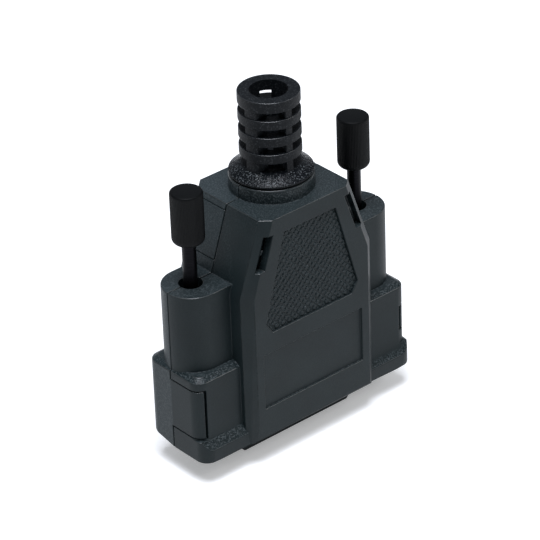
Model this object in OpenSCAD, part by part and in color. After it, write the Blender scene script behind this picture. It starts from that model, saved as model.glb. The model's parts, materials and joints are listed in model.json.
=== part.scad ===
// D-sub connector hood: two snap-together half shells, a slotted cable grommet,
// a cable clamp and two captive thumbscrews. The hood stands on the guide lips of its
// mouth, Z up, with the screw axes and the parting plane at Y = 0 and the front at -Y.

/* [Interface] */
// Distance between the two jackscrew axes of the connector
screw_pitch = 47.04; // [44:0.01:52]
// Distance from each jackscrew axis to the end of the connector flange
flange_end = 3; // [2.8:0.05:4]
// Depth of the connector flange, front to back
flange_depth = 12.55; // [11.5:0.05:13]
// Room for the thickness of the connector flange
flange_slot = 1.4; // [1:0.1:2]
// Length of the opening for the D-shaped connector shell
shell_length = 39.6; // [36:0.1:40]
// Depth of the opening for the D-shaped connector shell
shell_depth = 8.8; // [8.6:0.1:9.6]
// Corner radius of the shell opening
shell_corner = 3.6; // [1:0.1:4]

/* [Base] */
// Front face of the base rim, measured forward from the parting plane
base_front = 10.7; // [9.8:0.1:11.5]
// Rear face of the base, measured back from the parting plane
base_rear = 8; // [7.9:0.1:11]
// Height of the base sides, from the mouth to the foot of the sloping shoulder
base_height = 19.5; // [19:0.1:26]
// Radius of the upright corners of the base
base_corner = 2.9; // [1.5:0.1:4]
// Rise of the sloping shoulder
shoulder_rise = 0.9; // [0.8:0.1:3]
// Run of the sloping shoulder
shoulder_run = 1.4; // [0.8:0.1:2]
// Height of the thick band along the mouth
band_height = 3; // [2:0.1:5.6]
// Height of the slope above the band
band_slope = 2.1; // [0.5:0.1:3]
// Set-back of the front face above the band
band_step = 1.6; // [0.2:0.1:2]
// Thickness of the base's side walls
side_wall = 3.78; // [3.2:0.02:4.4]
// Height of the ledges that hold the connector flange down
ledge_height = 1.5; // [1:0.1:3]
// How far the ledges reach over the connector flange
ledge_reach = 1.2; // [0.6:0.1:1.8]
// Rise of the bevel under the rear half
rear_bevel = 1.7; // [0.3:0.1:1.8]
// Thickness of the rim that carries the connector flange
rim_thickness = 2; // [1.9:0.1:3]

/* [Mouth lips] */
// Length of the guide lips beside the connector shell
lip_length = 32.4; // [20:0.2:34]
// Thickness of the guide lips
lip_thickness = 1; // [0.8:0.05:1.5]
// Bevel at the ends of the guide lips
lip_bevel = 1.2; // [0.3:0.1:2]
// How far the lips stand out of the mouth
lip_height = 5.6; // [2:0.1:6]

/* [Tower] */
// Half depth of the tower, parting plane to front or rear face
tower_half = 12.1; // [11.8:0.1:14]
// Width of the tower at its top
tower_top_width = 25.4; // [24:0.1:28]
// Width of the tower below its bend
tower_width = 37.1; // [36.4:0.1:38]
// Height of the bend above the mouth
bend_height = 36.5; // [34:0.1:38]
// Height of the tower top above the mouth
tower_height = 53.6; // [52:0.1:60]
// Chamfer of the tower's front edges, across the width
edge_chamfer_x = 2.25; // [1:0.05:2.6]
// Chamfer of the tower's front edges, front to back
edge_chamfer_y = 1.95; // [1:0.05:2.6]
// Chamfer of the tower's rear edges
rear_chamfer = 2.8; // [1:0.1:3]
// Chamfer under the front of the tower
foot_chamfer = 1.1; // [0.2:0.05:1.4]
// Wall of the tower and the base
wall = 2; // [1.8:0.05:2.4]
// Thickness of the tower's roof
roof = 1.5; // [1.2:0.1:2]

/* [Ears] */
// Outer radius of the ear round each thumbscrew
ear_radius = 6.45; // [5.9:0.05:6.5]
// Flat front of the ears, measured forward from the parting plane
ear_front = 6.8; // [6.5:0.05:7.2]
// Height of the ear tops above the mouth
ear_height = 38.8; // [36:0.1:41]
// Bore at the top of each ear
ear_bore = 5.2; // [4.8:0.1:5.8]
// Thickness of the plate at the top of each ear
ear_cap = 3; // [2:0.1:5]
// Thickness of the base's roof, which guides the screws
web_thickness = 2.6; // [1.5:0.1:4]
// Hole for each screw through the rim
tip_bore = 3.6; // [3.3:0.1:4.4]

/* [Panels] */
// Width of the grip panel at its top
grip_top = 14.6; // [10:0.1:16]
// Width of the grip panel at its widest
grip_width = 26.3; // [24:0.1:29]
// Width of the grip panel at its bottom
grip_bottom = 22.6; // [18:0.1:24]
// Height of the grip panel's top above the mouth
grip_top_height = 49.6; // [46:0.1:52]
// Height of the grip panel's lower corners above the mouth
grip_corner_height = 29.1; // [29:0.1:33]
// Height of the grip panel's bottom above the mouth
grip_bottom_height = 26.4; // [25:0.05:28.5]
// Depth of the grip panel
grip_depth = 0.8; // [0.3:0.1:1.1]
// Width of the label recess
label_width = 28.3; // [20:0.1:31]
// Height of the label recess
label_height = 13.5; // [8:0.1:15]
// Height of the label recess above the mouth
label_rise = 8.1; // [7:0.1:11]
// Depth of the label recess
label_depth = 0.5; // [0.2:0.1:0.9]

/* [Grommet] */
// Bore for the cable
cable_bore = 8.4; // [6:0.1:9.5]
// Outer diameter of the slotted rings
ring_diameter = 13.55; // [12.8:0.05:15]
// Number of slotted levels
ring_count = 4; // [2:1:5]
// Distance from one ring to the next
ring_pitch = 4.03; // [3.5:0.01:5]
// Height of the slots between the rings
slot_height = 1.85; // [1.2:0.05:2.2]
// Height of the lowest slot, which opens onto the cone
first_slot = 2.3; // [1.5:0.1:3]
// Height of the top ring
top_ring = 2.5; // [1.5:0.1:4]
// Width of the ribs that join the rings, front and rear
rib_width = 1.65; // [1:0.05:2.4]
// How far the front rib lies to the left and the rear rib to the right
rib_shift = 0.17; // [0:0.01:0.5]
// Width of the ribs at the two sides
side_rib_width = 3.1; // [1:0.1:4]
// How far the left rib lies forward and the right rib back
side_rib_shift = 1.25; // [0:0.05:1.5]
// How far the ribs stand back from the faces of the rings
rib_inset = 0.25; // [0:0.05:0.5]
// Diameter of the grommet's flange
cap_diameter = 18.4; // [17.6:0.1:19.6]
// Thickness of the flange at its edge
cap_edge = 0.35; // [0.2:0.05:1]
// Height of the cone above the flange edge
cap_cone = 1.8; // [1:0.05:3]
// Diameter of the cone at its top
cone_top = 12; // [10:0.1:13]
// Diameter of the disc under the flange
disc_diameter = 17.2; // [16.4:0.1:17.4]
// Height of the disc under the flange
disc_height = 0.5; // [0.3:0.02:1]
// Diameter of the neck in the collar
neck_diameter = 12.8; // [11.6:0.1:13.4]
// Diameter of the inner flange under the tower top
anchor_diameter = 16.4; // [14.8:0.1:18]
// Thickness of the inner flange
anchor_thickness = 2; // [1.2:0.1:3]
// Outer diameter of the collar on the tower top
collar_diameter = 18.6; // [18:0.1:20]
// Height of the collar
collar_height = 3.25; // [2:0.05:4.5]
// Bevel of the collar's upper edge
collar_bevel = 0.3; // [0.1:0.05:0.6]

/* [Thumbscrews] */
// Diameter of the knobs
knob_diameter = 7.2; // [6.4:0.1:8]
// Length of the knobs
knob_length = 12.3; // [9:0.1:15]
// Rounding of the lower end of the knobs
knob_round = 1.3; // [0.5:0.1:1.6]
// Bevel of the upper end of the knobs
knob_bevel = 0.35; // [0.2:0.05:1]
// Depth of the shank's seat in the knob
knob_seat = 9; // [5:0.5:9]
// Diameter of the smooth shank
shank_diameter = 3.1; // [3:0.05:3.2]
// Major diameter of the thread
thread_diameter = 2.84; // [2.5:0.01:3]
// Length of the thread
thread_length = 8; // [5:0.5:9]
// Bevel at the tip of the thread
thread_lead = 0.4; // [0.2:0.1:0.8]
// How far the tips stand out of the mouth when the screws are pushed home
tip_reach = 6; // [4:0.1:7]
// How far the screws are pulled out as they stand
screw_lift = 10; // [2:0.1:10]
// Travel left above that before the retaining rings meet the base's roof
spare_lift = 0.6; // [0.2:0.1:1.5]
// Outer diameter of the retaining rings
ring_clip_diameter = 5.2; // [4.6:0.1:5.4]
// Thickness of the retaining rings
clip_thickness = 0.8; // [0.5:0.1:1]
// Depth of the groove for the retaining rings
clip_groove = 0.3; // [0.2:0.05:0.5]
// Gap of the retaining rings
clip_gap = 1.7; // [1:0.1:2]

/* [Latches] */
// Height of the left corner latch
left_latch = 11.8; // [5:0.1:12]
// Height of the right corner latch
right_latch = 5.9; // [5:0.1:12]
// Height of the middle of the corner latches above the mouth
latch_rise = 11.5; // [10:0.1:12]
// Thickness of the corner latches
latch_thickness = 1.2; // [0.8:0.1:1.4]
// How far the corner latches wrap round the corner, in degrees
latch_wrap = 70; // [20:1:75]
// How far the latches' roots reach behind the parting plane
latch_root = 1; // [0.6:0.1:2]
// Rounding of the latches at their tips
latch_round = 1.2; // [0.4:0.1:2]
// Open gap in front of the latch tips
latch_end_gap = 0.5; // [0.4:0.05:1]
// Lower end of the side fingers above the mouth
finger_rise = 41.6; // [40:0.1:42]
// Height of the side fingers
finger_height = 10.5; // [7:0.1:10.8]
// How much shorter the fingers are at their tips, below
tip_margin_low = 0.9; // [0.5:0.1:2]
// How much shorter the left finger is at its tip, above
left_tip_margin = 2.4; // [0.8:0.1:3]
// How much shorter the right finger is at its tip, above
right_tip_margin = 1; // [0.8:0.1:3]
// Length of the slots that free the side fingers
finger_slot_length = 7.2; // [4:0.1:8]
// Thickness of the side fingers inside the front shell
finger_thickness = 1.3; // [1:0.1:1.6]
// Height of the hook on each side finger
hook_height = 1; // [0.6:0.1:2]
// How far the hooks reach into the release slits
hook_reach = 1; // [0.4:0.1:1.6]
// Width of the release slits
slit_width = 2.1; // [1.5:0.1:2.6]
// Distance of the release slits from the tower's sides
slit_inset = 1.45; // [1:0.05:1.8]
// Clearance of the release slits above and below the finger tips
slit_margin = 0.3; // [0.2:0.1:0.5]

/* [Cable clamp] */
// Distance between the clamp screws
clamp_pitch = 15; // [14.6:0.1:16]
// Width of the clamp bar along the cable
clamp_width = 5; // [4:0.1:5.4]
// Thickness of the clamp bar
clamp_thickness = 1.2; // [0.8:0.1:1.6]
// Height of the middle of the clamp above the mouth
clamp_rise = 44.5; // [42:0.1:46]
// Diameter of the clamp screws
clamp_screw_diameter = 2.5; // [2:0.1:2.6]
// Head diameter of the clamp screws
clamp_head_diameter = 4.4; // [3.6:0.1:4.6]
// Head height of the clamp screws
clamp_head_height = 1.6; // [1:0.1:2]
// Width of the driver slot in the clamp screws
driver_slot_width = 0.6; // [0.4:0.1:0.8]
// Depth of the driver slot in the clamp screws
driver_slot_depth = 0.7; // [0.4:0.1:0.9]
// Length of the clamp screws under the head
clamp_screw_length = 8; // [5:0.5:9]
// Diameter of the posts that the clamp screws enter
post_diameter = 5; // [4.6:0.1:5.6]

/* [Fits] */
// Visible gap at the parting plane and round the latches
part_gap = 0.24; // [0.1:0.02:0.4]
// Radial running clearance of the screws in the guide webs
run_clearance = 0.08; // [0.03:0.01:0.1]
// Radial clearance between still parts
rest_clearance = 0.1; // [0.05:0.01:0.2]
// Radial clearance of the seats in the knobs, the clamp posts and the rings' grooves
seat_clearance = 0.02; // [0.01:0.01:0.04]

/* [Hidden] */
$fn = 64;
// Reach of what is cut away without an end, past the far side of any cut, and into a neighbour
FAR = 200;
OVER = 1;
BITE = 0.5;
LAP = 0.01;
SHELL_COLOUR = "#3b4347";
RUBBER_COLOUR = "#1d2023";
KNOB_COLOUR = "#15181a";
STEEL_COLOUR = "#23262a";
ZINC_COLOUR = "#b9bdc1";

mouth_z = lip_height;
screw_x = screw_pitch / 2;
top_z = mouth_z + tower_height;
bend_z = mouth_z + bend_height;
ear_z = mouth_z + ear_height;
shoulder_z = mouth_z + base_height;
slot_z = mouth_z + rim_thickness;
ledge_z = slot_z + flange_slot;
bay_z = ledge_z + ledge_height;
roof_z = shoulder_z + shoulder_rise;
web_z = roof_z - web_thickness;
block_front = base_front - band_step;
flange_side = screw_x + flange_end + rest_clearance;
base_width = 2 * (flange_side + side_wall);
flange_face = flange_depth / 2 + rest_clearance;
lean = (tower_width - tower_top_width) / 2 / (tower_height - bend_height);
collar_z = top_z + collar_height;
cap_z = collar_z + disc_height;
cone_z = cap_z + cap_edge + cap_cone;
first_ring_z = cone_z + first_slot;
grommet_top_z = first_ring_z + (ring_count - 1) * ring_pitch + top_ring;
neck_bottom_z = top_z - roof;
knob_z = ear_z + screw_lift;
tip_z = mouth_z - tip_reach + screw_lift;
finger_z = mouth_z + finger_rise;
clamp_z = mouth_z + clamp_rise;
latch_z = mouth_z + latch_rise;
latch_corner = [-base_width / 2 + base_corner, -block_front + base_corner];
clip_z = web_z - clip_thickness - spare_lift;
tip_low_z = finger_z + tip_margin_low;

// Top of a finger's tip
function tip_high(side) = finger_z + finger_height - (side < 0 ? left_tip_margin : right_tip_margin);

// Half width of the tower at a height on its slanting sides
function tower_side(z) = tower_width / 2 - lean * max(0, z - bend_z);

// Everything on the side of a plane that its normal points to
module beyond(point, normal) {
    translate(point)
        rotate([0, acos(normal.z / norm(normal)), atan2(normal.y, normal.x)])
            translate([-FAR / 2, -FAR / 2, 0])
                cube(FAR);
}

// A profile drawn in X and Z, given its depth from y0 back to y1
module front_profile(y0, y1) {
    translate([0, y1, 0])
        rotate([90, 0, 0])
            linear_extrude(y1 - y0)
                children();
}

// A profile drawn in Y and Z, given its width from x0 to x1
module side_profile(x0, x1) {
    translate([x0, 0, 0])
        rotate([90, 0, 90])
            linear_extrude(x1 - x0)
                children();
}

// Rectangle with round corners
module round_rect(x0, x1, y0, y1, r) {
    translate([x0 + r, y0]) square([x1 - x0 - 2 * r, y1 - y0]);
    translate([x0, y0 + r]) square([x1 - x0, y1 - y0 - 2 * r]);
    for (x = [x0 + r, x1 - r], y = [y0 + r, y1 - r])
        translate([x, y]) circle(r);
}

// Plan of the base with its front face at the given distance, drawn smaller by an inset
module base_outline(front, inset = 0) {
    round_rect(-base_width / 2 + inset, base_width / 2 - inset,
        -front + inset, base_rear - inset, base_corner - inset);
}

// Block with round upright corners whose top edges slope inwards all round
module shouldered_block() {
    x = base_width / 2 - base_corner;
    y0 = -block_front + base_corner;
    y1 = base_rear - base_corner;
    translate([0, 0, mouth_z])
        linear_extrude(base_height) base_outline(block_front);
    side_profile(-x, x)
        polygon([[-block_front, shoulder_z], [base_rear, shoulder_z],
            [base_rear - shoulder_run, roof_z], [-block_front + shoulder_run, roof_z]]);
    translate([0, y1, 0])
        rotate([90, 0, 0])
            linear_extrude(y1 - y0)
                polygon([[-base_width / 2, shoulder_z], [base_width / 2, shoulder_z],
                    [base_width / 2 - shoulder_run, roof_z], [-base_width / 2 + shoulder_run, roof_z]]);
    for (cx = [-x, x], cy = [y0, y1])
        translate([cx, cy, shoulder_z])
            cylinder(r1 = base_corner, r2 = base_corner - shoulder_run, h = shoulder_rise);
}

// Thick band along the mouth, sloping back to the block above it
module mouth_band() {
    difference() {
        translate([0, 0, mouth_z])
            linear_extrude(band_height + band_slope) base_outline(base_front);
        side_profile(-FAR / 2, FAR / 2)
            polygon([[-base_front, mouth_z + band_height],
                [-block_front, mouth_z + band_height + band_slope],
                [-block_front, FAR], [-FAR, FAR], [-FAR, mouth_z + band_height]]);
    }
}

// Outside of the base, with a bevel under the rear half
module base_block() {
    difference() {
        union() {
            shouldered_block();
            mouth_band();
        }
        side_profile(-FAR / 2, FAR / 2)
            polygon([[0, mouth_z], [base_rear, mouth_z + rear_bevel],
                [FAR, mouth_z + rear_bevel], [FAR, mouth_z - OVER], [0, mouth_z - OVER]]);
    }
}

// Outside of the tower: a tapering box with chamfered edges
module tower() {
    side = tower_width / 2;
    top = tower_top_width / 2;
    difference() {
        front_profile(-tower_half, tower_half)
            polygon([[-side, mouth_z], [side, mouth_z], [side, bend_z], [top, top_z],
                [-top, top_z], [-side, bend_z]]);
        for (sx = [-1, 1], slope = [0, lean]) {
            beyond([sx * side, edge_chamfer_y - tower_half, bend_z],
                [sx / edge_chamfer_x, -1 / edge_chamfer_y, slope / edge_chamfer_x]);
            beyond([sx * side, tower_half - rear_chamfer, bend_z], [sx, 1, slope]);
        }
        for (sy = [-1, 1])
            beyond([0, sy * tower_half, mouth_z + foot_chamfer], [0, sy, -1]);
    }
}

// Plan of one ear: round outside, with a flat front that runs in to the tower
module ear_plan() {
    reach = screw_x - tower_width / 2 + wall;
    for (y = [0, ear_radius - ear_front])
        translate([0, y]) circle(ear_radius);
    translate([0, -ear_front]) square([reach, ear_radius + ear_front]);
}

module ears() {
    for (side = [-1, 1])
        translate([side * screw_x, 0, roof_z - OVER])
            linear_extrude(ear_z - roof_z + OVER)
                mirror([side > 0 ? 1 : 0, 0]) ear_plan();
}

module collar() {
    rotate_extrude()
        polygon([[0, top_z - OVER], [collar_diameter / 2, top_z - OVER],
            [collar_diameter / 2, collar_z - collar_bevel],
            [collar_diameter / 2 - collar_bevel, collar_z], [0, collar_z]]);
}

module outer_form() {
    base_block();
    tower();
    ears();
    collar();
}

// Opening for the connector shell
module shell_plan() {
    round_rect(-shell_length / 2, shell_length / 2, -shell_depth / 2, shell_depth / 2, shell_corner);
}

// Box given by its two half widths and its lowest and highest points
module room(x, y0, y1, z0, z1) {
    translate([-x, y0, z0]) cube([2 * x, y1 - y0, z1 - z0]);
}

// The room inside the hood, with the connector's seat and the grommet's neck
module hollow() {
    inner = tower_width / 2 - wall;
    inner_top = tower_side(neck_bottom_z) - wall;
    front_profile(-tower_half + wall, tower_half - wall)
        polygon([[-inner, ledge_z], [inner, ledge_z], [inner, bend_z], [inner_top, neck_bottom_z],
            [-inner_top, neck_bottom_z], [-inner, bend_z]]);
    room(flange_side, -block_front + wall, base_rear - wall, bay_z, web_z);
    room(flange_side, ledge_reach - flange_face, flange_face - ledge_reach, ledge_z - LAP, bay_z + LAP);
    room(flange_side, -flange_face, flange_face, slot_z, ledge_z);
    translate([0, 0, -OVER])
        linear_extrude(slot_z + OVER + LAP) shell_plan();
    translate([0, 0, neck_bottom_z - LAP])
        cylinder(d = neck_diameter + 2 * rest_clearance, h = FAR);
}

// Bores for one thumbscrew: ear plate, ear chamber, base roof and hole in the rim
module screw_bores(side) {
    translate([side * screw_x, 0, 0]) {
        translate([0, 0, roof_z]) cylinder(d = ear_bore, h = FAR);
        translate([0, 0, roof_z]) cylinder(r = ear_radius - wall, h = ear_z - ear_cap - roof_z);
        translate([0, 0, web_z - OVER])
            cylinder(d = shank_diameter + 2 * run_clearance, h = web_thickness + 2 * OVER);
        translate([0, 0, mouth_z - OVER]) cylinder(d = tip_bore, h = rim_thickness + 2 * OVER);
    }
}

// Sunken grip panel in the front or rear face
module grip_recess(face) {
    front_profile(face * tower_half - grip_depth, face * tower_half + grip_depth)
        polygon([[-grip_top / 2, mouth_z + grip_top_height], [grip_top / 2, mouth_z + grip_top_height],
            [grip_width / 2, mouth_z + grip_corner_height], [grip_bottom / 2, mouth_z + grip_bottom_height],
            [-grip_bottom / 2, mouth_z + grip_bottom_height],
            [-grip_width / 2, mouth_z + grip_corner_height]]);
}

module label_recess() {
    translate([-label_width / 2, -tower_half - label_depth, mouth_z + label_rise])
        cube([label_width, 2 * label_depth, label_height]);
}

// Guide lip along one long side of the connector shell, standing out of the mouth
module mouth_lip(face) {
    x = lip_length / 2;
    y = face * shell_depth / 2;
    front_profile(min(y, y + face * lip_thickness), max(y, y + face * lip_thickness))
        polygon([[-x + lip_bevel, 0], [x - lip_bevel, 0], [x, lip_bevel], [x, slot_z],
            [-x, slot_z], [-x, lip_bevel]]);
}

function latch_height(side) = side < 0 ? left_latch : right_latch;

// Plan of the skin that a corner latch takes up, out to wrap degrees round the corner
module latch_plan(thickness, wrap) {
    intersection() {
        difference() {
            base_outline(block_front);
            base_outline(block_front, thickness);
        }
        union() {
            translate([latch_corner.x - FAR, latch_corner.y]) square([FAR, -latch_corner.y]);
            difference() {
                translate(latch_corner) circle(base_corner + OVER);
                translate(latch_corner) rotate(180 + wrap) translate([-OVER, 0]) square(FAR);
                translate([latch_corner.x - FAR / 2, latch_corner.y]) square(FAR);
                translate([latch_corner.x, latch_corner.y - FAR]) square([FAR, 2 * FAR]);
            }
        }
    }
}

// The two sides mirror each other apart from the height of what is drawn
module latch_at(side) {
    mirror([side > 0 ? 1 : 0, 0, 0])
        translate([0, 0, latch_z])
            children();
}

module latch_recess(side) {
    gap_angle = latch_end_gap / base_corner * 180 / PI;
    half = latch_height(side) / 2 + part_gap;
    latch_at(side)
        translate([0, 0, -half])
            linear_extrude(2 * half)
                latch_plan(latch_thickness + part_gap, latch_wrap + gap_angle);
}

// What rounds off one corner of a latch tip
module tip_rounding(half) {
    translate([latch_corner.x, latch_corner.y, 0])
        rotate([0, 0, 180 + latch_wrap])
            translate([base_corner - latch_thickness / 2, -latch_round, half - latch_round])
                rotate([0, 90, 0])
                    difference() {
                        translate([-2 * latch_round, 0, -latch_thickness])
                            cube([2 * latch_round, 2 * latch_round, 2 * latch_thickness]);
                        cylinder(r = latch_round, h = 3 * latch_thickness, center = true);
                    }
}

module corner_latch(side) {
    half = latch_height(side) / 2;
    latch_at(side)
        difference() {
            translate([0, 0, -half])
                linear_extrude(2 * half) {
                    latch_plan(latch_thickness, latch_wrap);
                    translate([-base_width / 2, -latch_root]) square([latch_thickness, 2 * latch_root]);
                }
            tip_rounding(half);
            mirror([0, 0, 1]) tip_rounding(half);
        }
}

// Slanting plate along the tower's side, from inset a to inset b, between two depths
module side_plate(side, a, b, y0, y1, z0, z1) {
    front_profile(y0, y1)
        polygon([[side * (tower_side(z0) - a), z0], [side * (tower_side(z1) - a), z1],
            [side * (tower_side(z1) - b), z1], [side * (tower_side(z0) - b), z0]]);
}

// Release slit across the front edge of the tower
module release_slit(side) {
    side_plate(side, slit_inset, slit_inset + slit_width, -tower_half - OVER, -tower_half + wall + BITE,
        tip_low_z - slit_margin, tip_high(side) + slit_margin);
}

// Snap finger of the rear shell: it runs inside the front shell to the release slit
module side_finger(side) {
    a = wall + part_gap;
    tip = -tower_half + wall + part_gap;
    tip_high_z = tip_high(side);
    middle = (tip_low_z + tip_high_z) / 2;
    side_plate(side, a, a + finger_thickness, tip, finger_slot_length, tip_low_z, tip_high_z);
    side_plate(side, wall - BITE, a + BITE, part_gap, finger_slot_length, tip_low_z, tip_high_z);
    side_plate(side, a, a + finger_thickness / 2, tip - hook_reach, tip + BITE,
        middle - hook_height / 2, middle + hook_height / 2);
}

// Slots above and below a side finger in the rear shell
module finger_slots(side) {
    for (z = [finger_z - part_gap, finger_z + finger_height])
        side_plate(side, -OVER, wall + BITE, -OVER, finger_slot_length, z, z + part_gap);
}

// Posts and saddle that the cable clamp is screwed to
module clamp_posts() {
    back = -tower_half + wall / 2;
    for (side = [-1, 1])
        translate([side * clamp_pitch / 2, back, clamp_z])
            rotate([-90, 0, 0]) cylinder(d = post_diameter, h = -back);
    translate([-clamp_pitch / 2, back, clamp_z - clamp_width / 2])
        cube([clamp_pitch, -back - rest_clearance, clamp_width]);
}

module clamp_post_holes() {
    for (side = [-1, 1])
        translate([side * clamp_pitch / 2, -clamp_screw_length, clamp_z])
            rotate([-90, 0, 0]) cylinder(d = clamp_screw_diameter + 2 * seat_clearance, h = FAR);
    translate([0, 0, clamp_z - clamp_width])
        cylinder(d = cable_bore, h = 2 * clamp_width);
}

module front_shell() {
    color(SHELL_COLOUR)
        difference() {
            union() {
                difference() {
                    outer_form();
                    hollow();
                }
                clamp_posts();
                mouth_lip(-1);
            }
            translate([-FAR / 2, -part_gap / 2, -OVER]) cube(FAR);
            for (side = [-1, 1]) {
                screw_bores(side);
                latch_recess(side);
                release_slit(side);
            }
            clamp_post_holes();
            grip_recess(-1);
            label_recess();
        }
}

module rear_shell() {
    color(SHELL_COLOUR) {
        difference() {
            union() {
                difference() {
                    outer_form();
                    hollow();
                }
                mouth_lip(1);
            }
            translate([-FAR / 2, part_gap / 2 - FAR, -OVER]) cube(FAR);
            for (side = [-1, 1]) {
                screw_bores(side);
                finger_slots(side);
            }
            grip_recess(1);
        }
        for (side = [-1, 1]) {
            corner_latch(side);
            side_finger(side);
        }
    }
}

// Flange with its cone, the disc under it, the neck in the collar and the inner flange
module grommet_root() {
    anchor_z = neck_bottom_z - rest_clearance;
    rotate_extrude()
        polygon([[cable_bore / 2, anchor_z - anchor_thickness],
            [anchor_diameter / 2, anchor_z - anchor_thickness], [anchor_diameter / 2, anchor_z],
            [neck_diameter / 2, anchor_z], [neck_diameter / 2, collar_z],
            [disc_diameter / 2, collar_z], [disc_diameter / 2, cap_z], [cap_diameter / 2, cap_z],
            [cap_diameter / 2, cap_z + cap_edge], [cone_top / 2, cone_z], [cable_bore / 2, cone_z]]);
}

// Slots of one level, which leave a rib at the front, the rear and each side, set back a little
module ring_slots(height) {
    rib = rib_width / 2;
    side_rib = side_rib_width / 2;
    for (turn = [0, 180])
        rotate(turn) {
            translate([rib + rib_shift, side_rib + side_rib_shift, 0])
                cube([ring_diameter, ring_diameter, height]);
            translate([rib_shift - rib - ring_diameter, side_rib - side_rib_shift, 0])
                cube([ring_diameter, ring_diameter, height]);
        }
    linear_extrude(height)
        difference() {
            circle(d = ring_diameter + OVER);
            circle(d = ring_diameter - 2 * rib_inset);
        }
}

module cable_grommet() {
    color(RUBBER_COLOUR) {
        grommet_root();
        difference() {
            translate([0, 0, cap_z + cap_edge])
                cylinder(d = ring_diameter, h = grommet_top_z - cap_z - cap_edge);
            translate([0, 0, cap_z]) cylinder(d = cable_bore, h = FAR);
            translate([0, 0, cap_z]) ring_slots(first_ring_z - cap_z);
            for (level = [1 : ring_count - 1])
                translate([0, 0, first_ring_z + level * ring_pitch - slot_height])
                    ring_slots(slot_height);
        }
    }
}

module cable_clamp() {
    inner = cable_bore / 2;
    outer = inner + clamp_thickness;
    color(ZINC_COLOUR)
        difference() {
            translate([0, 0, clamp_z - clamp_width / 2])
                linear_extrude(clamp_width)
                    difference() {
                        union() {
                            circle(outer);
                            translate([-clamp_pitch / 2 - post_diameter / 2, 0])
                                square([clamp_pitch + post_diameter, clamp_thickness]);
                        }
                        circle(inner);
                        translate([-FAR / 2, -FAR]) square(FAR);
                    }
            for (side = [-1, 1])
                translate([side * clamp_pitch / 2, -OVER, clamp_z])
                    rotate([-90, 0, 0])
                        cylinder(d = clamp_screw_diameter + 2 * rest_clearance, h = FAR);
        }
}

module clamp_screws() {
    color(ZINC_COLOUR)
        for (side = [-1, 1])
            translate([side * clamp_pitch / 2, clamp_thickness, clamp_z])
                rotate([90, 0, 0])
                    difference() {
                        union() {
                            translate([0, 0, -clamp_head_height])
                                cylinder(d = clamp_head_diameter, h = clamp_head_height);
                            cylinder(d = clamp_screw_diameter, h = clamp_screw_length);
                        }
                        translate([-FAR / 2, -driver_slot_width / 2, -clamp_head_height - OVER])
                            cube([FAR, driver_slot_width, driver_slot_depth + OVER]);
                    }
}

module thumbscrew(side) {
    color(STEEL_COLOUR)
        translate([side * screw_x, 0, 0])
            rotate_extrude()
                polygon([[0, tip_z], [thread_diameter / 2 - thread_lead, tip_z],
                    [thread_diameter / 2, tip_z + thread_lead],
                    [thread_diameter / 2, tip_z + thread_length],
                    [shank_diameter / 2, tip_z + thread_length],
                    [shank_diameter / 2, clip_z], [shank_diameter / 2 - clip_groove, clip_z],
                    [shank_diameter / 2 - clip_groove, clip_z + clip_thickness],
                    [shank_diameter / 2, clip_z + clip_thickness],
                    [shank_diameter / 2, knob_z + knob_seat], [0, knob_z + knob_seat]]);
}

module knob(side) {
    r = knob_diameter / 2;
    color(KNOB_COLOUR)
        translate([side * screw_x, 0, knob_z])
            difference() {
                rotate_extrude()
                    difference() {
                        polygon([[0, 0], [r, 0], [r, knob_length - knob_bevel],
                            [r - knob_bevel, knob_length], [0, knob_length]]);
                        difference() {
                            translate([r - knob_round, -OVER])
                                square([knob_round + OVER, knob_round + OVER]);
                            translate([r - knob_round, knob_round]) circle(knob_round);
                        }
                    }
                translate([0, 0, -OVER])
                    cylinder(d = shank_diameter + 2 * seat_clearance, h = knob_seat + OVER);
            }
}

// Open retaining ring in its groove on the shank
module retainer(side) {
    color(ZINC_COLOUR)
        translate([side * screw_x, 0, clip_z + seat_clearance])
            linear_extrude(clip_thickness - 2 * seat_clearance)
                difference() {
                    circle(d = ring_clip_diameter);
                    circle(d = shank_diameter - 2 * (clip_groove - seat_clearance));
                    translate([-clip_gap / 2, 0]) square([clip_gap, FAR]);
                }
}

front_shell();
rear_shell();
cable_grommet();
cable_clamp();
clamp_screws();
thumbscrew(-1);  // left_screw
thumbscrew(1);  // right_screw
knob(-1);  // left_knob
knob(1);  // right_knob
retainer(-1);  // left_retainer
retainer(1);  // right_retainer
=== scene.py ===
# Looks of the D-sub hood: two grained ABS half shells, a slotted rubber grommet,
# knurled thumbscrews, and the studio that they stand in.
import json
import math

import bmesh
import bpy
from mathutils import Matrix, Vector
from mathutils.bvhtree import BVHTree


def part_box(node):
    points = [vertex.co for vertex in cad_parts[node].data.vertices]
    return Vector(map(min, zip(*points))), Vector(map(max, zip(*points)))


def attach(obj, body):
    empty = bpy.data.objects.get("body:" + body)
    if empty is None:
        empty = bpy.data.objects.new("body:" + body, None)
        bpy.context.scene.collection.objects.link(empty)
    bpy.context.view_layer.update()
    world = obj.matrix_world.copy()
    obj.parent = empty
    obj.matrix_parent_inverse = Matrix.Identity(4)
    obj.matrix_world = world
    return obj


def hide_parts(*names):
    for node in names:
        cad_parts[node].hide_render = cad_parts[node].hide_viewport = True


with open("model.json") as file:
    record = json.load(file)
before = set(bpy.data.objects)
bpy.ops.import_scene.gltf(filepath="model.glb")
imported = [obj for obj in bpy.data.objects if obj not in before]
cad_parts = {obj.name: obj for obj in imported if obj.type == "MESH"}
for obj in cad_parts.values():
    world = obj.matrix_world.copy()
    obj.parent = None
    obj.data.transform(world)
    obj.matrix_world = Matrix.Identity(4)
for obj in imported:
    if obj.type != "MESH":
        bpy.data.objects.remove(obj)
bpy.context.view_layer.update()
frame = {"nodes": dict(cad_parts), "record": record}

MM = 0.001
NODES = frame["nodes"]
BODIES = frame["record"]["behaviour"]["bodies"]
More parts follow.
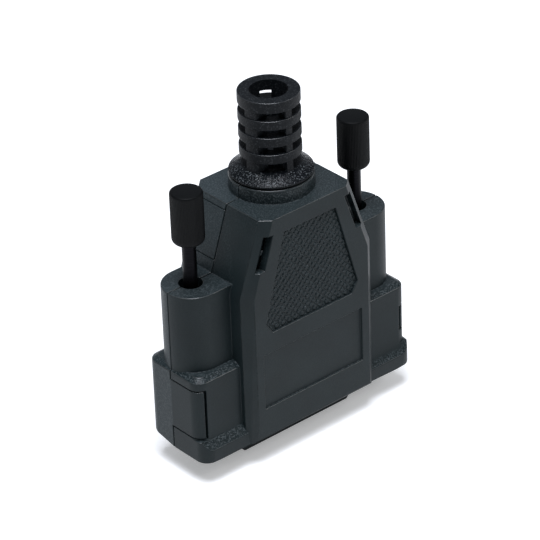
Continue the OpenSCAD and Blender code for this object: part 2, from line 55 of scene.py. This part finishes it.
BODY_OF = {node: body for body, nodes in BODIES.items() for node in nodes}


# ---------------------------------------------------------------- materials

def linear(code):
    """The linear RGBA of an sRGB hex code."""
    parts = [int(code[i:i + 2], 16) / 255 for i in (1, 3, 5)]
    bright = [c / 12.92 if c <= 0.04045 else ((c + 0.055) / 1.055) ** 2.4 for c in parts]
    return (*bright, 1.0)


def add(material, kind, inputs=(), **settings):
    """Adds a node. inputs maps a socket's name or number to a value or another node's output."""
    tree = material.node_tree
    node = tree.nodes.new("ShaderNode" + kind)
    for name, value in settings.items():
        setattr(node, name, value)
    for key, value in dict(inputs).items():
        if isinstance(value, bpy.types.NodeSocket):
            tree.links.new(value, node.inputs[key])
        else:
            node.inputs[key].default_value = value
    return node


def surface(name, **values):
    """A new material and its shader, with plain numbers on the shader's own sockets."""
    material = bpy.data.materials.new(name)
    material.use_nodes = True
    shader = material.node_tree.nodes["Principled BSDF"]
    for socket, value in values.items():
        shader.inputs[socket.replace("_", " ")].default_value = value
    return material, shader


def wire(material, shader, **sockets):
    """Joins outputs to the shader's sockets."""
    for socket, output in sockets.items():
        material.node_tree.links.new(output, shader.inputs[socket.replace("_", " ")])


def noise(material, place, size, detail):
    """How high a noise is whose grains are that many millimetres wide."""
    scale = 1 / (size * MM)
    node = add(material, "TexNoise", {"Vector": place, "Scale": scale, "Detail": detail})
    return node.outputs["Fac"]


def between(material, factor, low, high):
    """A number that runs from low to high as a factor runs from 0 to 1."""
    node = add(material, "MapRange", {"Value": factor, "To Min": low, "To Max": high})
    return node.outputs["Result"]


def upward(material):
    """How far a face looks up: 0 on an upright face and 1 on a level one."""
    normal = add(material, "NewGeometry").outputs["Normal"]
    return add(material, "SeparateXYZ", {0: normal}).outputs["Z"]


def bump(material, height, strength, depth, under=None):
    """A relief of that depth in millimetres, on top of another where one is given."""
    inputs = {"Height": height, "Strength": strength, "Distance": depth * MM}
    if under:
        inputs["Normal"] = under
    return add(material, "Bump", inputs).outputs["Normal"]


def ramp(material, factor, stops):
    """A colour ramp with the given (place, RGBA) stops."""
    node = add(material, "ValToRGB", {0: factor})
    band = node.color_ramp
    while len(band.elements) < len(stops):
        band.elements.new(0.5)
    for element, (place, colour) in zip(band.elements, stops):
        element.position = place
        element.color = colour
    return node.outputs["Color"]


def grey(value):
    """The RGBA of a plain number."""
    return (value, value, value, 1.0)


# Where the collar stands on the tower's top, in metres.
COLLAR_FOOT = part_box("front_shell")[1][2] - 3.2 * MM


def moulded_abs(name, dark, light, least, behind=0):
    """ABS, injection moulded in a spark-eroded tool: anthracite, a fine even grain on every
    face, and a coarser grain on the collar and on the faces that slope towards the light, with
    lighter flecks on it that are painted glints; level faces are painted a little lighter as
    painted light. least is how much of the coarse grain and its glints the upright faces have,
    and behind is how much coarser the grain is behind the parting plane and how much lighter
    its colour is painted there, as painted light on the rear half."""
    material, shader = surface(name, Roughness=0.5, IOR=1.53, Specular_IOR_Level=0.17)
    place = add(material, "TexCoord").outputs["Object"]
    fine = noise(material, place, 0.16, 3.0)
    coarse = noise(material, place, 0.34, 2.0)
    cloud = noise(material, place, 9.0, 3.0)
    up = upward(material)
    tilt = ramp(material, up, [(0.0, grey(least)), (0.3, grey(least)), (0.5, grey(1)),
                               (0.9, grey(1)), (0.97, grey(0.55))])
    where = add(material, "SeparateXYZ", {0: place})
    collar = add(material, "MapRange", {"Value": where.outputs["Z"], "From Min": COLLAR_FOOT,
                                        "From Max": COLLAR_FOOT + 0.2 * MM, "To Max": 0.8})
    rear = add(material, "MapRange", {"Value": where.outputs["Y"], "From Min": -0.2 * MM,
                                      "From Max": 0.2 * MM, "To Max": behind}).outputs["Result"]
    mould = ramp(material, cloud, [(0.3, linear(dark)), (0.7, linear(light))])
    # Behind the parting plane the colour is painted lighter, towards #2c373b: painted light on the
    # rear half's sides.
    colour = add(material, "Mix", {"Factor": rear, "A": mould, "B": linear("#2c373b")},
                 data_type="RGBA").outputs["Result"]
    coarser = add(material, "Math", {0: tilt, 1: rear}, operation="MAXIMUM").outputs[0]
    slope = add(material, "Math", {0: coarser, 1: collar.outputs["Result"]},
                operation="MAXIMUM").outputs[0]
    # Lighter flecks of the coarse grain, on the sloping faces, the collar and behind the parting
    # plane, are painted glints; level adds a painted lift that makes the level faces lighter.
    glint_fleck = ramp(material, coarse, [(0.47, grey(0)), (0.64, grey(1))])
    amount = add(material, "Math", {0: glint_fleck, 1: slope}, operation="MULTIPLY").outputs[0]
    level = ramp(material, up, [(0.9, grey(0)), (0.98, grey(0.055))])
    share = add(material, "Math", {0: amount, 1: 0.32, 2: level},
                operation="MULTIPLY_ADD").outputs[0]
    tint = add(material, "Mix", {"Factor": share, "A": colour, "B": linear("#70787b")},
               data_type="RGBA").outputs["Result"]
    even = ramp(material, fine, [(0.3, grey(0.44)), (0.7, grey(0.58))])
    rough = add(material, "Mix", {"Factor": slope, 2: even, 3: 0.32}).outputs[0]
    relief = bump(material, coarse, between(material, slope, 0.12, 0.8), 0.12,
                  under=bump(material, fine, 0.35, 0.05))
    wire(material, shader, Base_Color=tint, Roughness=rough, Normal=relief)
    return material


def moulded_rubber():
    """Thermoplastic rubber, moulded: near black and soft, faintly grained on its upright rings,
    with a coarse grain on the sloping flange whose lighter flecks are painted glints."""
    material, shader = surface("moulded_rubber", Roughness=0.5, IOR=1.5, Specular_IOR_Level=0.15)
    place = add(material, "TexCoord").outputs["Object"]
    grain = noise(material, place, 0.36, 2.0)
    fine = noise(material, place, 0.14, 2.0)
    slope = ramp(material, upward(material), [(0.0, grey(0.2)), (0.4, grey(0.2)), (0.6, grey(1)),
                                              (0.93, grey(1)), (0.98, grey(0.3))])
    # Lighter flecks on the faces that slope up, and a few on the upright rings, are painted
    # glints.
    glint_fleck = ramp(material, grain, [(0.55, grey(0)), (0.66, grey(1))])
    amount = add(material, "Math", {0: glint_fleck, 1: slope}, operation="MULTIPLY").outputs[0]
    share = add(material, "Math", {0: amount, 1: 0.32}, operation="MULTIPLY").outputs[0]
    tint = add(material, "Mix", {"Factor": share, "A": linear("#05090d"), "B": linear("#8d9396")},
               data_type="RGBA").outputs["Result"]
    rough = between(material, slope, 0.6, 0.24)
    relief = bump(material, grain, between(material, slope, 0.1, 0.9), 0.14,
                  under=bump(material, fine, 0.3, 0.04))
    wire(material, shader, Base_Color=tint, Roughness=rough, Normal=relief)
    return material


def knob_plastic():
    """Polyamide, moulded black: the knobs, matt with a faint sheen on the teeth."""
    material, shader = surface("knob_plastic", Roughness=0.5, IOR=1.53, Specular_IOR_Level=0.09)
    grain = noise(material, add(material, "TexCoord").outputs["Object"], 0.2, 3.0)
    tone = ramp(material, grain, [(0.35, linear("#040506")), (0.7, linear("#090b0c"))])
    wire(material, shader, Base_Color=tone, Normal=bump(material, grain, 0.4, 0.05))
    return material


def black_oxide_steel():
    """Steel, turned and black oxidised: the screws, dark with faint lathe lines round them."""
    material, shader = surface("black_oxide_steel", Roughness=0.42, Metallic=1.0)
    place = add(material, "TexCoord").outputs["Object"]
    squeeze = add(material, "Mapping", {"Vector": place, "Scale": (0.05, 0.05, 1.0)}).outputs[0]
    lathe = noise(material, squeeze, 0.12, 2.0)
    tone = ramp(material, lathe, [(0.3, linear("#101012")), (0.75, linear("#1b1b1e"))])
    wire(material, shader, Base_Color=tone, Normal=bump(material, lathe, 0.25, 0.02))
    return material


def zinc_steel():
    """Steel, stamped or turned and zinc plated: the clamp, its screws and the retaining rings,
    bright with faint clouds."""
    material, shader = surface("zinc_steel", Roughness=0.3, Metallic=1.0)
    cloud = noise(material, add(material, "TexCoord").outputs["Object"], 1.2, 4.0)
    tone = ramp(material, cloud, [(0.3, linear("#9da3a8")), (0.7, linear("#c3c7ca"))])
    rough = ramp(material, cloud, [(0.3, grey(0.24)), (0.7, grey(0.4))])
    wire(material, shader, Base_Color=tone, Roughness=rough)
    return material


def painted_edge_highlight(name, dark, light, roughness, gloss):
    """The same plastic on the rounded edges: smoother, a little lighter as a painted highlight,
    and more reflective where the edges look up, so that these catch a thin line of light."""
    material, shader = surface(name, IOR=1.53)
    place = add(material, "TexCoord").outputs["Object"]
    patchy = noise(material, place, 1.6, 4.0)
    fine = noise(material, place, 0.18, 2.0)
    # A tone a little lighter than the body's: a painted highlight on the edges.
    tone = ramp(material, patchy, [(0.35, linear(dark)), (0.65, linear(light))])
    rough = ramp(material, patchy, [(0.35, grey(roughness + 0.1)), (0.65, grey(roughness))])
    shine = ramp(material, upward(material), [(0.25, grey(0.12)), (0.5, grey(gloss))])
    wire(material, shader, Base_Color=tone, Roughness=rough, Specular_IOR_Level=shine,
         Normal=bump(material, fine, 0.2, 0.03))
    return material


SHELL = moulded_abs("moulded_abs", "#10191b", "#151f21", 0.03)
# The rear shell: its colour is painted lighter behind the parting plane, as painted light on its
# sides.
REAR_SHELL = moulded_abs("moulded_abs_rear", "#10191b", "#151f21", 0.03, 0.35)
# The rounded edges' finishes, a little lighter than the body as a painted highlight.
SHELL_EDGE = painted_edge_highlight("moulded_abs_edge_highlight", "#11191a", "#1a2325", 0.26, 0.9)
RUBBER_EDGE = painted_edge_highlight("moulded_rubber_edge_highlight", "#080b0f", "#10151a", 0.24, 0.9)
RUBBER = moulded_rubber()
KNOB = knob_plastic()
OXIDE = black_oxide_steel()
ZINC = zinc_steel()

FINISH = {
    "front_shell": SHELL, "rear_shell": REAR_SHELL, "cable_grommet": RUBBER,
    "cable_clamp": ZINC, "clamp_screws": ZINC,
    "left_retainer": ZINC, "right_retainer": ZINC,
    "left_screw": OXIDE, "right_screw": OXIDE, "left_knob": KNOB, "right_knob": KNOB,
}
for node, material in FINISH.items():
    slots = NODES[node].data.materials
    if not slots:
        slots.append(material)
    for place in range(len(slots)):
        slots[place] = material


# ---------------------------------------------------------------- pieces

def piece(name, shape, material, body):
    """Turns a bmesh into a piece that rides on a body."""
    mesh = bpy.data.meshes.new(name)
    shape.to_mesh(mesh)
    shape.free()
    mesh.materials.append(material)
    thing = bpy.data.objects.new(name, mesh)
    bpy.context.scene.collection.objects.link(thing)
    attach(thing, body)
    return thing


# The width in mm of a rounded edge, how near in mm a place is to an edge's end, the radius in
# mm that holds the grommet's ribs, and the angles in degrees from which an edge of the plain
# shape is rounded off and an edge of the new one is shaded sharp.
ROUNDED = 0.16
NEAR = 0.6
RIBS = 6.6
ROUNDED_FROM = 24
SHARP_FROM = 50


def roomy(edge, width):
    """Whether the edges that leave an edge's ends sideways are long enough to round it off."""
    for corner in edge.verts:
        along = (edge.other_vert(corner).co - corner.co).normalized()
        for other in corner.link_edges:
            leaving = other.other_vert(corner).co - corner.co
            sideways = leaving.cross(along).length
            if other is not edge and sideways > 0.35 * leaving.length and sideways < 2.2 * width:
                return False
    return True


def rounded_off(plain, skin, core, crowded):
    """A copy of a shape with its sharp edges rounded off, the faces that round them, and the
    places where the rounding leaves the plain skin. Edges within core mm of the Z axis and
    those that end near a crowded place stay sharp."""
    shape = plain.copy()
    width = ROUNDED * MM
    wanted = []
    for edge in shape.edges:
        tips = [corner.co for corner in edge.verts]
        if (edge.calc_face_angle(0) > math.radians(ROUNDED_FROM) and roomy(edge, width)
                and (tips[0] + tips[1]).xy.length / 2 > core * MM
                and all((spot - tip).length >= NEAR * MM for spot in crowded for tip in tips)):
            wanted.append(edge)
    made = bmesh.ops.bevel(shape, geom=wanted, offset=width, offset_type="OFFSET", segments=2,
                           profile=0.5, affect="EDGES", clamp_overlap=False, material=-1)
    astray = [v.co.copy() for v in shape.verts if skin.find_nearest(v.co)[3] > 0.45 * width]
    return shape, made["faces"], astray


def softened(node, highlight_finish, core=0):
    """A copy of a CAD node with its edges rounded off and the edge finish, with its painted
    highlight, on the outer ones.
    """
    plain = bmesh.new()
    plain.from_mesh(NODES[node].data)
    bmesh.ops.remove_doubles(plain, verts=plain.verts, dist=0.001 * MM)
    bmesh.ops.dissolve_limit(plain, angle_limit=math.radians(0.4), verts=plain.verts,
                             edges=plain.edges)
    skin = BVHTree.FromBMesh(plain)
    crowded = []
    shape, rounding, astray = rounded_off(plain, skin, core, crowded)
    while astray and len(crowded) < 1000:
        crowded += astray
        shape.free()
        shape, rounding, astray = rounded_off(plain, skin, core, crowded)
    plain.free()
    # The outer rounded faces take the second material: the edge finish, a little lighter as a
    # painted highlight.
    for face in rounding:
        if sum(edge.calc_face_angle_signed(0) for edge in face.edges) > 0:
            face.material_index = 1
    for face in shape.faces:
        face.smooth = True
    for edge in shape.edges:
        edge.smooth = edge.calc_face_angle(0) < math.radians(SHARP_FROM)
    made = piece(node + "_moulded", shape, FINISH[node], BODY_OF[node])
    made.data.materials.append(highlight_finish)
    flat = made.modifiers.new("flat_faces", "WEIGHTED_NORMAL")
    flat.mode = "FACE_AREA"
    flat.weight = 100
    flat.keep_sharp = True
    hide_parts(node)


softened("front_shell", SHELL_EDGE)
softened("rear_shell", SHELL_EDGE)
softened("cable_grommet", RUBBER_EDGE, core=RIBS)


# The grip panel's outline in mm, half width and height, from the top down, and how far from
# the parting plane the sheet's grooves lie.
GRIP_OUTLINE = ((7.3, 55.2), (13.15, 34.7), (11.3, 32.0))
GRIP_BED = 11.46
GRIP_ROOT = 0.4
GRIP_MARGIN = 0.16
DIAMOND_COUNT = 34
DIAMOND_SIDE = 1.27
DIAMOND_GAP = 0.1
DIAMOND_SLOPE = 0.34
DIAMOND_HEIGHT = 0.2


def grip_sheet(name, face, body):
    """The diamond grip of the front (face -1) or rear (face 1): rows of blunt pyramids, standing
    on one corner, cut off at the sunken panel's outline."""
    shape = bmesh.new()
    bmesh.ops.create_grid(shape, x_segments=DIAMOND_COUNT, y_segments=DIAMOND_COUNT,
                          size=DIAMOND_COUNT * DIAMOND_SIDE / 2 * MM)
    bmesh.ops.inset_individual(shape, faces=shape.faces[:], thickness=DIAMOND_GAP * MM, depth=0)
    tops = [f for f in shape.faces if f.calc_area() > (DIAMOND_SIDE * MM) ** 2 / 3]
    bmesh.ops.inset_individual(shape, faces=tops, thickness=DIAMOND_SLOPE * MM,
                               depth=DIAMOND_HEIGHT * MM)
    bmesh.ops.rotate(shape, verts=shape.verts, matrix=Matrix.Rotation(math.radians(45), 3, "Z"))
    (top_x, top_z), (side_x, side_z), (low_x, low_z) = GRIP_OUTLINE
    centre_z = (top_z + low_z) / 2
    cuts = [((0, top_z), (0, 1)), ((0, low_z), (0, -1))]
    for sx in (-1, 1):
        cuts.append(((sx * side_x, side_z), (sx * (top_z - side_z), side_x - top_x)))
        cuts.append(((sx * side_x, side_z), (sx * (side_z - low_z), low_x - side_x)))
    for (x, z), away in cuts:
        away = Vector((*away, 0)).normalized()
        edge = Vector((x, z - centre_z, 0)) - away * GRIP_MARGIN
        bmesh.ops.bisect_plane(shape, geom=shape.verts[:] + shape.edges[:] + shape.faces[:],
                               dist=1e-7, plane_co=edge * MM, plane_no=away, clear_outer=True)
    rim = bmesh.ops.extrude_edge_only(shape, edges=[e for e in shape.edges if e.is_boundary])
    below = [v for v in rim["geom"] if isinstance(v, bmesh.types.BMVert)]
    bmesh.ops.scale(shape, verts=below, vec=(1, 1, 0))
    bmesh.ops.translate(shape, verts=below, vec=(0, 0, -GRIP_ROOT * MM))
    bmesh.ops.holes_fill(shape, edges=[e for e in shape.edges if e.is_boundary])
    bmesh.ops.recalc_face_normals(shape, faces=shape.faces)
    stand = Matrix.Rotation(math.radians(90), 4, "X")
    if face > 0:
        stand = Matrix.Rotation(math.radians(180), 4, "Z") @ stand
    place = Matrix.Translation((0, face * GRIP_BED * MM, centre_z * MM))
    bmesh.ops.transform(shape, matrix=place @ stand, verts=shape.verts)
    piece(name, shape, SHELL if face < 0 else REAR_SHELL, body)


grip_sheet("front_grip", -1, BODY_OF["front_shell"])
grip_sheet("rear_grip", 1, BODY_OF["rear_shell"])


def turned(profile, steps, middle):
    """A ring of faces spun from a profile of (radius, height) points in mm round an upright
    axis that stands at middle."""
    shape = bmesh.new()
    points = [shape.verts.new((r * MM, 0, z * MM)) for r, z in profile]
    line = [shape.edges.new(pair) for pair in zip(points, points[1:])]
    bmesh.ops.spin(shape, geom=points + line, cent=(0, 0, 0), axis=(0, 0, 1),
                   angle=2 * math.pi, steps=steps, use_merge=True)
    bmesh.ops.remove_doubles(shape, verts=shape.verts, dist=0.001 * MM)
    bmesh.ops.translate(shape, verts=shape.verts, vec=middle)
    return shape


def closed(shape):
    """Faces outwards, round parts smooth and corners sharp."""
    bmesh.ops.recalc_face_normals(shape, faces=shape.faces)
    for face in shape.faces:
        face.smooth = True
    for edge in shape.edges:
        edge.smooth = edge.is_manifold and edge.calc_face_angle() < math.radians(35)
    return shape


# The knobs in mm: the bore that takes the screw and its depth, the radii at the lower end and
# the top, how far from them the teeth are at full height, and how far from the knob's ends the
# grooves between them run out.
KNOB_BORE = 1.57
KNOB_SEAT = 9.0
KNOB_FOOT = 1.3
KNOB_CROWN = 0.5
KNURL_FOOT = 0.6
KNURL_CROWN = 0.4
GROOVE_FOOT = 0.9
GROOVE_CROWN = 0.3
KNURL_TEETH = 66
KNURL_DEPTH = 0.06


def quarter(radius, steps):
    """Sines and cosines times a radius, from 0 to 90 degrees."""
    for step in range(steps + 1):
        angle = math.radians(90 * step / steps)
        yield radius * math.sin(angle), radius * math.cos(angle)


def foot_and_size(node):
    """The middle of a node's lower end in metres, and its radius and height in mm."""
    low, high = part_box(node)
    middle = Vector(((low.x + high.x) / 2, (low.y + high.y) / 2, low.z))
    return middle, (high.x - low.x) / 2 / MM, (high.z - low.z) / MM


def knurled_knob(side):
    """A knob with fine straight teeth between its rounded lower end and its bevelled top."""
    node = side + "_knob"
    middle, radius, tall = foot_and_size(node)
    foot = [(radius - KNOB_FOOT + s, KNOB_FOOT - c) for s, c in quarter(KNOB_FOOT, 6)]
    crown = [(radius - KNOB_CROWN + c, tall - KNOB_CROWN + s) for s, c in quarter(KNOB_CROWN, 5)]
    teeth = [(radius, KNOB_FOOT + KNURL_FOOT), (radius, tall - KNOB_CROWN - KNURL_CROWN)]
    bore = [(0, KNOB_SEAT), (KNOB_BORE, KNOB_SEAT), (KNOB_BORE, 0)]
    shape = turned(bore + foot + teeth + crown + [(0, tall)], 2 * KNURL_TEETH, middle)
    step = math.pi / KNURL_TEETH
    grooves = []
    for v in shape.verts:
        out = v.co - middle
        column = round(math.atan2(out.y, out.x) / step)
        outside = out.xy.length > (radius - KNURL_FOOT) * MM
        if column % 2 and outside and GROOVE_FOOT * MM < out.z < (tall - GROOVE_CROWN) * MM:
            grooves.append(v)
    share = 1 - KNURL_DEPTH / radius
    bmesh.ops.scale(shape, verts=grooves, vec=(share, share, 1), space=Matrix.Translation(-middle))
    made = piece(node + "_knurled", closed(shape), KNOB, BODY_OF[node])
    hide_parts(node)


# The screws in mm: the shank, the thread's core and crest radii, where the thread begins and
# runs out, its pitch, and the bevels at the ends.
SHANK = 1.55
CORE = 1.08
CREST = 1.42
THREAD_START = 0.5
THREAD_END = (7.7, 8.2)
THREAD_PITCH = 0.64
THREAD_TURNS = 11
THREAD_STEPS = 24
GROOVE_DEPTH = 0.3
GROOVE_PLAY = 0.02
TIP_BEVEL = 0.3
HEAD_BEVEL = 0.2


def threaded_screw(side):
    """A thumbscrew's shank with its retaining groove and a rolled thread at its tip."""
    node = side + "_screw"
    middle, _, tall = foot_and_size(node)
    clip_low, clip_high = ((corner.z - middle.z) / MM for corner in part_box(side + "_retainer"))
    clip_low, clip_high = clip_low - GROOVE_PLAY, clip_high + GROOVE_PLAY
    groove = SHANK - GROOVE_DEPTH
    shape = turned([(0, 0), (CORE - TIP_BEVEL, 0), (CORE, TIP_BEVEL), (CORE, THREAD_END[0]),
                    (SHANK, THREAD_END[1]), (SHANK, clip_low), (groove, clip_low),
                    (groove, clip_high), (SHANK, clip_high), (SHANK, tall - HEAD_BEVEL),
                    (SHANK - HEAD_BEVEL, tall), (0, tall)], 48, middle)
    tooth = bmesh.new()
    corners = [(CORE - 0.05, -0.3), (CORE - 0.05, 0.3), (CREST, 0.04), (CREST, -0.04)]
    ring = [tooth.verts.new((r * MM, 0, z * MM)) for r, z in corners]
    loop = [tooth.edges.new(pair) for pair in zip(ring, ring[1:] + ring[:1])]
    bmesh.ops.spin(tooth, geom=ring + loop, cent=(0, 0, 0), axis=(0, 0, 1),
                   angle=2 * math.pi * THREAD_TURNS, steps=THREAD_STEPS * THREAD_TURNS,
                   dvec=(0, 0, THREAD_PITCH / THREAD_STEPS * MM))
    bmesh.ops.holes_fill(tooth, edges=[e for e in tooth.edges if e.is_boundary], sides=4)
    bmesh.ops.translate(tooth, verts=tooth.verts, vec=middle + Vector((0, 0, THREAD_START * MM)))
    spare = bpy.data.meshes.new("thread")
    tooth.to_mesh(spare)
    tooth.free()
    shape.from_mesh(spare)
    bpy.data.meshes.remove(spare)
    made = piece(node + "_threaded", closed(shape), OXIDE, BODY_OF[node])
    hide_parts(node)


for side in ("left", "right"):
    knurled_knob(side)
for side in ("left", "right"):
    threaded_screw(side)


# ---------------------------------------------------------------- studio

def studio_floor():
    """A matt white floor that glows a little, like a light table, so that shadows stay thin."""
    material, shader = surface("studio_floor", Roughness=0.9, IOR=1.3, Emission_Strength=0.3)
    shader.inputs["Base Color"].default_value = linear("#fbfbfb")
    shape = bmesh.new()
    bmesh.ops.create_grid(shape, x_segments=2, y_segments=2, size=1.5)
    mesh = bpy.data.meshes.new("studio_floor")
    shape.to_mesh(mesh)
    shape.free()
    mesh.materials.append(material)
    floor = bpy.data.objects.new("studio_floor", mesh)
    bpy.context.scene.collection.objects.link(floor)


def softbox(name, place, aim, size, power, colour="#ffffff"):
    """A square soft light in metres and watts that looks at a point."""
    light = bpy.data.lights.new(name, "AREA")
    light.shape = "SQUARE"
    light.size = size
    light.energy = power
    light.color = linear(colour)[:3]
    lamp = bpy.data.objects.new(name, light)
    lamp.location = place
    lamp.rotation_euler = (Vector(place) - Vector(aim)).to_track_quat("Z", "Y").to_euler()
    bpy.context.scene.collection.objects.link(lamp)


def white_world(strength):
    """Faint white light from all round."""
    world = bpy.data.worlds.new("studio_air")
    world.use_nodes = True
    backdrop = world.node_tree.nodes["Background"]
    backdrop.inputs["Color"].default_value = linear("#f4f8ff")
    backdrop.inputs["Strength"].default_value = strength
    bpy.context.scene.world = world


# Where the camera stands, seen from its target, and its lens in mm.
AZIMUTH = math.radians(-40.06)
ELEVATION = math.radians(30.97)
ROLL = math.radians(-2.17)
DISTANCE = 729.5 * MM
TARGET = Vector((1.07, 2.98, 35.84)) * MM
LENS = 223.3
SENSOR = 36


def place_camera():
    """A long lens, turned a little about its own axis."""
    level = math.cos(ELEVATION)
    back = Vector((math.sin(AZIMUTH) * level, -math.cos(AZIMUTH) * level, math.sin(ELEVATION)))
    right = Vector((math.cos(AZIMUTH), math.sin(AZIMUTH), 0))
    up = back.cross(right)
    side = right * math.cos(ROLL) + up * math.sin(ROLL)
    top = up * math.cos(ROLL) - right * math.sin(ROLL)
    data = bpy.data.cameras.new("camera")
    data.lens = LENS
    data.sensor_width = SENSOR
    data.clip_start = 0.01
    camera = bpy.data.objects.new("camera", data)
    turn = Matrix((side, top, back)).transposed().to_4x4()
    camera.matrix_world = Matrix.Translation(TARGET + back * DISTANCE) @ turn
    bpy.context.scene.collection.objects.link(camera)
    bpy.context.scene.camera = camera


studio_floor()
white_world(0.25)
HALF_WAY_UP = (0, 0, 35 * MM)
# A small key light for thin bright edges, a broad one above for the level faces, and a faint
# one behind.
softbox("key", (0.45, -0.5, 0.6), HALF_WAY_UP, 0.22, 1.0)
softbox("top", (-0.12, -0.12, 0.9), HALF_WAY_UP, 0.45, 8.8, "#f2f6ff")
softbox("rim", (0.5, 0.6, 0.5), HALF_WAY_UP, 0.8, 0.3, "#dfeaff")
place_camera()
bpy.context.scene.view_settings.view_transform = "Standard"
